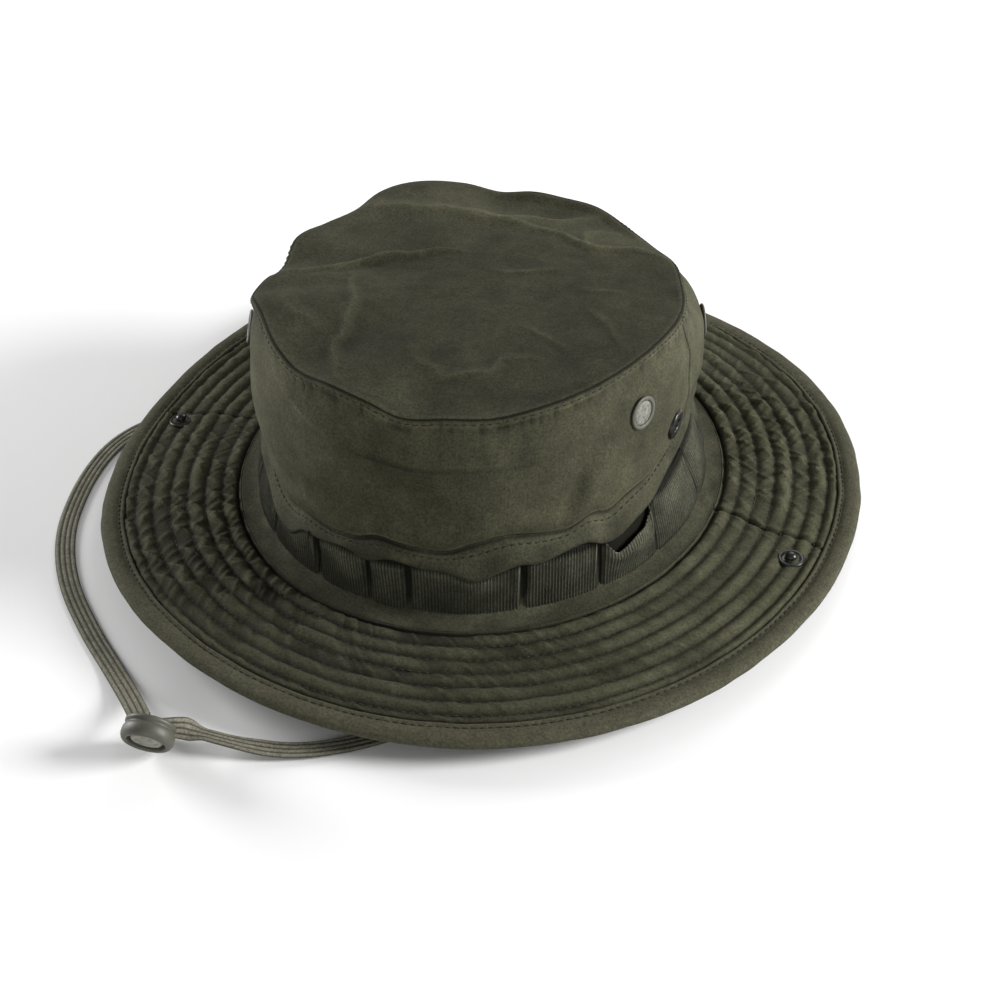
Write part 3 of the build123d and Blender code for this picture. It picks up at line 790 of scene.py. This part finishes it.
def side_surface(theta, share):
    """The crown's side: share is 0 at the strip's seam and 1 at the top seam."""
    rim = seam_oval(theta)
    low = strip_seam_height(theta)
    z = low + (rim[..., 2] - low) * share
    half_x, half_y = side_oval(z)
    roll_in = ease(share, 0.55, 1.0) ** 2
    x = half_x * np.cos(theta) * (1 - roll_in) + rim[..., 0] * roll_in
    y = half_y * np.sin(theta) * (1 - roll_in) + rim[..., 1] * roll_in
    spots = np.stack((x, y, z), -1)
    loose = ease(share, 0.0, 0.12) * (1 - ease(share, 0.9, 1.0))
    out = 0.9 * noise(spots / 36.0, 15) + 0.45 * noise(spots / 15.0, 16) + 0.12 * noise(spots / 5.5, 17)
    rise = z - low
    out = loose * out + 1.5 * bell(rise, 4.5, 4.5) * ease(rise, 0.0, 1.2) - 0.8 * bell(rise, 0.0, 0.7)
    out = out - wall_tuck(theta) * (1 - ease(rise, 0.0, 20.0)) - wall_lean(theta) * (1 - roll_in)
    below_seam = rim[..., 2] - z
    out = out + 0.45 * (1 - ease(below_seam, 3.2, 4.2)) - 1.1 * bell(below_seam, 0.0, 0.6)
    along = np.degrees(theta) % 360 * MM_PER_DEGREE
    out = out + ridge(along, z, ((384, 88), (415, 80), (445, 77), (475, 76)), 4.0, 0.9)
    out = out + ridge(along, z, ((508, 54), (514, 66), (522, 76)), 5.0, 1.2)
    out = out - ridge(along, z, ((500, 50), (505, 60), (508, 68)), 3.5, 1.3)
    folded = ridge(along, z, ((372, 90), (398, 83), (420, 79), (445, 77), (490, 77)), 1.1, 1.0)
    gathers = (1 - np.abs(round_noise(theta, 0 * theta, 120, 9.0, 27))) ** 5
    gathers = gathers * bell(below_seam, 4.2, 2.2)
    out = out + 0.45 * folded - 0.45 * gathers
    flat = unit(np.stack((np.cos(theta) / half_x, np.sin(theta) / half_y), -1))
    # Painted light: the left of the crown's side is paler.
    shade_and_wear_amount = 0.22 * noise(spots / 24.0, 18) + 0.2 * noise(spots / 8.0, 19) + 0.25 * ease(-x, 45.0, 75.0)
    # Painted highlight on the fold at the left, turning to painted shade at the right, and painted shade in
    # the gathers.
    shade_and_wear_amount = shade_and_wear_amount + folded * (0.45 - 0.9 * ease(x, -35.0, 0.0)) - 0.7 * gathers
    # Painted shade at the top seam and at the foot, with a painted highlight on the cloth beside each.
    shade_and_wear_amount = shade_and_wear_amount - 1.6 * bell(below_seam, 0.0, 0.55) + 0.3 * bell(below_seam, 2.4, 1.2)
    shade_and_wear_amount = shade_and_wear_amount - 1.3 * bell(rise, 0.0, 0.7) + 0.4 * bell(rise, 1.8, 0.7)
    x, y = x + out * flat[..., 0], y + out * flat[..., 1]
    seam_gap = np.abs((theta + pi / 2) % pi - pi / 2) * 88
    dip = 0.5 * bell(seam_gap, 0.0, 0.6)
    # Painted shade in the groove of each side seam.
    return np.stack((x - dip * flat[..., 0], y - dip * flat[..., 1], z), -1), shade_and_wear_amount - 1.4 * dip


def polar_top(name):
    """The crown's top as rings of points round one at its middle."""
    columns, rows = 520, 110
    theta = np.linspace(0, tau, columns, endpoint=False)[None, :]
    reach = (np.linspace(0, 1, rows)[1:, None]) ** 0.85
    grid, shade_and_wear_amount = on_grid(top_surface, theta, reach)
    middle, middle_shade_and_wear = top_surface(np.zeros(1), np.full(1, 1e-4))
    points = np.concatenate((grid.reshape(-1, 3), middle))
    centre = len(points) - 1
    quads = grid_faces(rows - 1, columns, closed=True)[:, ::-1].tolist()
    fan = [(centre, i, (i + 1) % columns) for i in range(columns)]
    obj = mesh_object(name, points, quads + fan, points[:, :2], np.append(shade_and_wear_amount.ravel(), middle_shade_and_wear))
    thicken(obj, CROWN_CLOTH)
    return obj


def make_crown_side(half, start):
    """The front or back half of the crown's side, from one side seam to the other."""
    theta = np.linspace(start, start + pi, 420)[None, :]
    share = np.concatenate((np.linspace(0, 0.06, 9), np.linspace(0.075, 0.92, 56),
                            np.linspace(0.93, 1, 20)))[:, None]
    points, shade_and_wear_amount = on_grid(side_surface, theta, share)
    panel = sheet_object(f"crown_side_cloth_{half}", points, stacked(theta * 91.0, share * 58.0),
                         thickness=CROWN_CLOTH, shade_and_wear=shade_and_wear_amount)
    finish(panel, cloth, "ripstop_cloth", f"crown_side_{half}")
    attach(panel, "hat")


crown_top = polar_top("crown_top_cloth")
finish(crown_top, cloth, "ripstop_cloth", "crown_top")
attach(crown_top, "hat")
make_crown_side("front", pi)
make_crown_side("back", 0.0)

# ---- the lower band
# Rows of the band: 0-1 its hem on the brim, to 5 up behind the webbing, 6-7 the strip's foot,
# 9 the crown side's foot, 10 inside the crown. Below, how far each stands out from the brim's seam.
BAND_ROWS = (0.0, 0.5, 1.0, 2.0, 3.0, 3.5, 4.0, 5.0, 6.0, 6.4, 6.8, 7.4, 8.0, 9.0, 10.0)
BAND_WIDTHS = (0.8, 0.6, -0.4, -3.0, -5.6, -6.6, -7.1, -7.4, -7.4, -5.3, -4.7, -4.8, -5.5, -7.3, -9.4)
BAND_FOOT_HEIGHTS = (0.1, 0.75, 0.85, 1.3, 2.3, 3.2, 4.6, 14.0)
STRIP_ROW, TOP_ROW, STITCH_ROW = 6.8, 9, 8.45


def band_surface(theta, row):
    """The lower band, row by row: from the brim seam up behind the webbing to the crown side."""
    low, high = strip_foot_height(theta), strip_seam_height(theta)
    wave = 0.35 * round_noise(theta, row * 3.0, 40, 6.0, 31)
    out = np.interp(row, BAND_ROWS, BAND_WIDTHS) + wave * ease(row, 1.0, 3.0)
    below = np.interp(row, BAND_ROWS[:8], BAND_FOOT_HEIGHTS) + SEAM_Z
    upper = np.interp(row, (5.0, 6.0, 6.4, STRIP_ROW, TOP_ROW), (0.0, 1.0, 0.93, 1.0, 1.0))
    wall_foot = SEAM_Z + BAND_FOOT_HEIGHTS[-1]
    on_wall = ease(row, 4.9, 5.1)
    foot = below * (1 - on_wall) + (wall_foot + (low - wall_foot) * upper) * on_wall
    strip = np.clip((row - STRIP_ROW) / (TOP_ROW - STRIP_ROW), 0, 1)
    head = low + (high - low) * strip + 3.0 * np.clip(row - TOP_ROW, 0, 1)
    z = np.where(row <= STRIP_ROW, foot, head)
    out = out - waist(theta, z)
    shade_and_wear_amount = 0.35 * round_noise(theta, row * 6.0, 70, 9.0, 33)
    # Painted shade under the crown side's foot and under the strip's hem.
    shade_and_wear_amount = shade_and_wear_amount - 0.9 * bell(row, 8.95, 0.12) - 0.7 * bell(row, 6.5, 0.25)
    # Painted shade on the band's wall behind the webbing.
    shade_and_wear_amount = shade_and_wear_amount - 2.0 * ease(row, 4.2, 5.0) * (1 - ease(row, 6.3, 6.6))
    # Darker along the hem on the brim and paler along the stitch row.
    shade_and_wear_amount = shade_and_wear_amount - 0.5 * (1 - ease(row, 0.2, 1.2)) + 0.3 * bell(row, STITCH_ROW, 0.2)
    return stacked((SEAM_X + out) * np.cos(theta), (SEAM_Y + out * 1.1) * np.sin(theta), z), shade_and_wear_amount


def make_band():
    theta = np.linspace(0, tau, 720, endpoint=False)[None, :]
    row = np.array((
        0, 0.25, 0.5, 0.75, 1.0, 1.35, 1.7, 2.1, 2.5, 3.0, 3.25, 3.5, 3.75, 4.0, 5.0, 6.0, 6.2, 6.4, 6.6, 6.8,
        7.1, 7.4, 7.7, 8.0, 8.35, 8.6, 8.75, 8.85, 8.95, 9.05, 9.5, 10.0))[:, None]
    points, shade_and_wear_amount = on_grid(band_surface, theta, row)
    made = sheet_object("lower_band_cloth", points, stacked(theta * ROUND, row * 5.0),
                        closed=True, thickness=0.5, shade_and_wear=shade_and_wear_amount)
    finish(made, band_cloth, "ripstop_cloth", "lower_band")
    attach(made, "hat")
    return made


band = make_band()

# ---- the webbing, tacked into loops
# Where the webbing is tacked down, in degrees, and how deep the tack pulls where it pulls hard.
TACKS = (4, 22, 41, 60, 79, 98, 117, 136, 155, 174, 193, 212, 231, 250.5, 266, 276, 303, 322.5, 341)
TACK_DEPTH = {250.5: 3.0, 266: 1.2, 276: 1.8, 303: 3.0, 322.5: 2.4}


def tacked(degrees, share, loose):
    """How far the tacks pull the webbing in, and the painted shade in the fold beside each."""
    pulled, folds = 0.0, 0.0
    for tack in TACKS:
        skew = ((tack * 7) % 5 - 2) * 0.9
        gap = ((degrees - tack + 180) % 360 - 180) * 1.62 + skew * (share - 0.5)
        depth = TACK_DEPTH.get(tack, 1.3)
        folds = folds + 0.45 * depth * (0.4 + 0.6 * loose) * bell(gap, 0.5, 0.9)
        pulled = pulled + depth * (0.3 + 0.7 * loose) * bell(gap, 0.4, 1.3)
        pulled = pulled - 0.55 * depth * loose * bell(gap, -1.9, 1.2)
    return pulled, folds


def webbing_surface(theta, share):
    """Ribbed webbing: share is 0 at its lower edge and 1 at its upper one."""
    degrees = np.degrees(theta) % 360
    tacks = np.array(TACKS + (TACKS[0] + 360,), float)
    turned = np.where(degrees < tacks[0], degrees + 360, degrees)
    index = np.clip(np.searchsorted(tacks, turned) - 1, 0, len(tacks) - 2)
    within = (turned - tacks[index]) / (tacks[index + 1] - tacks[index])
    loose = ease(share, 0.05, 0.95)
    fullness = 1.0 + 0.6 * round_noise(theta, 0 * theta, 19, 9.0, 41)
    tucked = 1 - 0.8 * ease(share, 0.8, 1.0)
    out = 1.5 * fullness * np.sin(pi * within) ** 0.8 * (0.25 + 0.75 * loose) * tucked
    pulled, folds = tacked(degrees, share, loose)
    gape = ease(degrees, 322, 328) * (1 - ease(degrees, 336, 345))
    out = out - pulled + gape * loose * 1.8
    out = out + (0.7 * round_noise(theta, share * 26.0, 46, 12.0, 45)
                 + 0.4 * round_noise(theta + 0.012 * share, share * 26.0, 110, 14.0, 47)) * loose
    top = np.minimum(strip_foot_height(theta) + 1.5 - 8.5 * gape, SEAM_Z + 26.5)
    foot = WEBBING_FOOT + 0.5 * round_noise(theta, 0 * theta, 30, 9.0, 44)
    z = foot + (top - WEBBING_FOOT) * share
    width = -6.3 + out + 0.22 * np.cos(theta * RIBS) - waist(theta, z)
    # Painted highlights where the loops stand out, and painted shade where they are pulled in and in the
    # folds at the tacks.
    shade_and_wear_amount = np.clip(0.5 * (out - 0.6), -0.8, 0.5) - folds
    # Painted shade along the top of the webbing, under the strip's hem.
    shade_and_wear_amount = shade_and_wear_amount - 1.5 * ease(share, 0.82, 0.95) * (1 - gape)
    # Painted highlight on the webbing's top edge where it gapes.
    shade_and_wear_amount = shade_and_wear_amount + 0.9 * gape * ease(share, 0.93, 0.97)
    shade_and_wear_amount = shade_and_wear_amount + 0.3 * round_noise(theta, share * 26.0, 90, 6.0, 46)
    return stacked((SEAM_X + width) * np.cos(theta), (SEAM_Y + width - 1.0) * np.sin(theta), z), shade_and_wear_amount


def make_webbing():
    theta = np.linspace(0, tau, RIBS * 5, endpoint=False)[None, :]
    share = np.linspace(0, 1, 18)[:, None]
    points, shade_and_wear_amount = on_grid(webbing_surface, theta, share)
    webbing = sheet_object("webbing_loops_cloth", points, stacked(theta * ROUND, share * 24.0),
                           closed=True, thickness=0.7, shade_and_wear=shade_and_wear_amount)
    finish(webbing, grosgrain, "grosgrain_webbing", "webbing_loops")
    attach(webbing, "hat")


make_webbing()


# ---- inside: sweatband and seam tape
def make_sweatband(theta, share):
    height = 12.2 + 25.0 * share
    inset = 9.6 + 0.25 * round_noise(theta, share * 20, 50, 12.0, 61) + waist(theta, height)
    flare = 0.9 * (1 - share) ** 8
    points = stacked((SEAM_X - inset + flare) * np.cos(theta), (SEAM_Y - inset - 1.2 + flare) * np.sin(theta),
                     height)
    sweatband = sheet_object("sweatband_cloth", points, stacked(theta * 88.0, share * 26.0),
                             closed=True, thickness=0.8)
    finish(sweatband, lining_cloth, "sweatband_cloth", "sweatband")
    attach(sweatband, "hat")


def make_seam_tape(theta, share):
    rim = seam_oval(theta)
    inward = 0.975 - 0.004 * share
    points = stacked(rim[..., 0] * inward, rim[..., 1] * inward, rim[..., 2] - 2.0 - 8.0 * share)
    tape = sheet_object("crown_seam_tape_cloth", points, stacked(theta * 86.0, share * 8.0),
                        closed=True, thickness=0.6)
    finish(tape, lining_cloth, "seam_tape", "crown_seam_tape")
    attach(tape, "hat")


whole_turn, full_height = np.linspace(0, tau, 300, endpoint=False)[None, :], np.linspace(0, 1, 12)[:, None]
make_sweatband(whole_turn, full_height)
make_seam_tape(whole_turn, full_height)


# ---- crown stitching
def crown_stitches(surface, at, lift, radius_hint):
    """Places, directions and normals of stitches round the crown, lift off one row of a surface."""
    def line(theta):
        outward = np.stack((np.cos(theta), np.sin(theta), 0 * theta), -1)
        return surface(theta, np.full_like(theta, at))[0] + lift * outward, outward
    return stitches_round(line, 0, tau, 3.0, radius_hint)


upper_run = crown_stitches(side_surface, 0.968, 0.1, 90.0)
lower_run = crown_stitches(band_surface, STITCH_ROW, 0.15, ROUND)
both_runs = [np.concatenate(pair) for pair in zip(upper_run, lower_run)]
crown_stitching = stitch_run("crown_stitching", *both_runs, length=2.1, radius=0.22)
finish(crown_stitching, thread_material, "ripstop_cloth")
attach(crown_stitching, "hat")


# ---- vents and snaps
def node_middle(name):
    low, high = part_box(name)
    return (Vector(low) + Vector(high)) / 2 / MM


def on_crown(spot):
    """The point of the crown's cloth beside a CAD place, as a matrix with z out of the cloth."""
    theta = np.full(200, np.arctan2(spot.y / 94.0, spot.x / 86.0))
    share = np.linspace(0, 1, 200)
    column, _ = side_surface(theta, share)
    index = int(np.argmin(np.abs(column[:, 2] - spot.z)))
    beside = side_surface(theta[:1] + 0.03, share[index:index + 1])[0][0]
    reach = 8
    upward = column[min(index + reach, 199)] - column[max(index - reach, 0)]
    return place_on(column[index], Vector(beside - column[index]).cross(Vector(upward)))


def on_brim(spot):
    """The point of the brim's cloth beside a CAD place."""
    theta = np.arctan2(spot.y / (SEAM_Y + 40), spot.x / (SEAM_X + 40))
    width = spot.x / cos(theta) - SEAM_X
    place = brim_points(np.array(theta), np.array(width), 0.55)
    rise = brim_points(np.array(theta), np.array(width + 4), 0.55) - place
    return place_on(place, (-rise[2] * cos(theta), 0, rise[0] / cos(theta)), (0, 1, 0))


# Outlines of the metal parts: radius and height over the cloth, in millimetres.
EYELET_PROFILE = (
    (4.8, -2.2), (5.2, -2.2), (5.2, -0.3), (6.3, -0.2), (6.5, 0.1), (6.45, 0.5), (6.1, 0.75), (5.6, 0.8),
    (5.1, 0.7), (4.85, 0.5), (4.8, 0.2), (4.8, -2.2))
SCREEN_PROFILE = ((0.0, 0.5), (2.0, 0.48), (4.0, 0.38), (4.82, 0.2), (4.82, -0.1), (0.0, 0.1))
WASHER_PROFILE = ((5.3, -2.1), (6.1, -2.1), (6.5, -1.8), (6.3, -1.4), (5.3, -1.35), (5.3, -2.1))
SOCKET_PROFILE = (
    (2.4, 0.9), (2.7, 1.35), (3.6, 1.4), (4.4, 1.15), (5.2, 1.3), (5.8, 1.0), (6.0, 0.4), (5.9, -0.6),
    (2.4, -0.6), (2.35, 0.3), (2.4, 0.9))
CAP_PROFILE = ((0.0, -2.6), (3.5, -2.55), (5.4, -2.1), (6.0, -1.4), (5.8, -0.7), (0.0, -0.65))
STUD_PROFILE = (
    (0.0, 3.0), (1.0, 2.95), (1.9, 2.4), (2.3, 1.7), (2.2, 1.2), (1.9, 0.7), (2.2, 0.45), (3.3, 0.4),
    (3.9, 0.8), (4.6, 0.9), (5.1, 0.6), (5.2, 0.1), (4.9, -0.5), (0.0, -0.5))
POST_PROFILE = (
    (0.0, -4.9), (3.6, -4.8), (4.8, -4.4), (5.2, -3.8), (4.9, -3.3), (1.6, -3.2), (1.5, 0.0), (0.0, 0.1))


VENT_PIECES = (      # own name, name in the record, outline, material, slot
    ("vent_ring", "vent_eyelet", EYELET_PROFILE, vent_paint, "vent_metal"),
    ("vent_mesh", "vent_screen", SCREEN_PROFILE, mesh_paint, "vent_mesh"),
    ("vent_back", "vent_washer", WASHER_PROFILE, vent_paint, "vent_metal"))
SOCKET_PIECES = (
    ("snap_socket_ring", "snap_socket", SOCKET_PROFILE, snap_paint, "snap_metal"),
    ("snap_inner_cap", "snap_cap", CAP_PROFILE, snap_paint, "snap_metal"))
STUD_PIECES = (
    ("snap_stud_ring", "snap_stud", STUD_PROFILE, snap_paint, "snap_metal"),
    ("snap_post_cap", "snap_post", POST_PROFILE, snap_paint, "snap_metal"))


def make_turned(pieces, end, place, body, steps=48):
    """A set of turned pieces at one place, which rides on a body."""
    for name, replaced, profile, material, slot in pieces:
        piece = lathe_object(f"{name}_{end}", profile, place, steps)
        finish(piece, material, slot, f"{replaced}_{end}")
        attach(piece, body)


def make_strap_tab(side):
    """The tab that holds one end of the strap in the crown's seam; it dips towards its outer end."""
    low, high = (np.array(corner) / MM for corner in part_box(f"strap_tab_{side}"))
    across, along = np.meshgrid(np.linspace(low[1], high[1], 13), np.linspace(0, 1, 9))
    inner_end, outer_end = (high[0], low[0]) if side == "left" else (low[0], high[0])
    drop = (high[2] - low[2] - 1.1) * along**1.5
    points = np.stack((inner_end + (outer_end - inner_end) * along, across, high[2] - 0.1 - drop), -1)
    tab = sheet_object(f"strap_anchor_{side}", points, np.stack((across, along * 12), -1),
                       thickness=0.9, flip=side == "left")
    finish(tab, strap_braid, "braided_strap", f"strap_tab_{side}")
    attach(tab, "hat")


for end in ("left_front", "left_back", "right_front", "right_back"):
    make_turned(VENT_PIECES, end, on_crown(node_middle(f"vent_screen_{end}")), "hat", 56)
for side in ("left", "right"):
    make_turned(SOCKET_PIECES, side, on_crown(node_middle(f"snap_socket_{side}")), "hat")
    make_turned(STUD_PIECES, side, on_brim(node_middle(f"snap_stud_{side}")), f"{side}_brim")
    make_strap_tab(side)


# ---- floor
def make_floor():
    """A plain white floor just under the hat."""
    corners = [(x, y, -0.2) for x, y in ((-3000, -3000), (3000, -3000), (3000, 3000), (-3000, 3000))]
    floor = mesh_object("floor", corners, [(0, 1, 2, 3)])
    material, _, shader = new_material("floor_white")
    shader.inputs["Base Color"].default_value = (0.86, 0.86, 0.86, 1)
    shader.inputs["Roughness"].default_value = 0.9
    floor.data.materials.append(material)


make_floor()
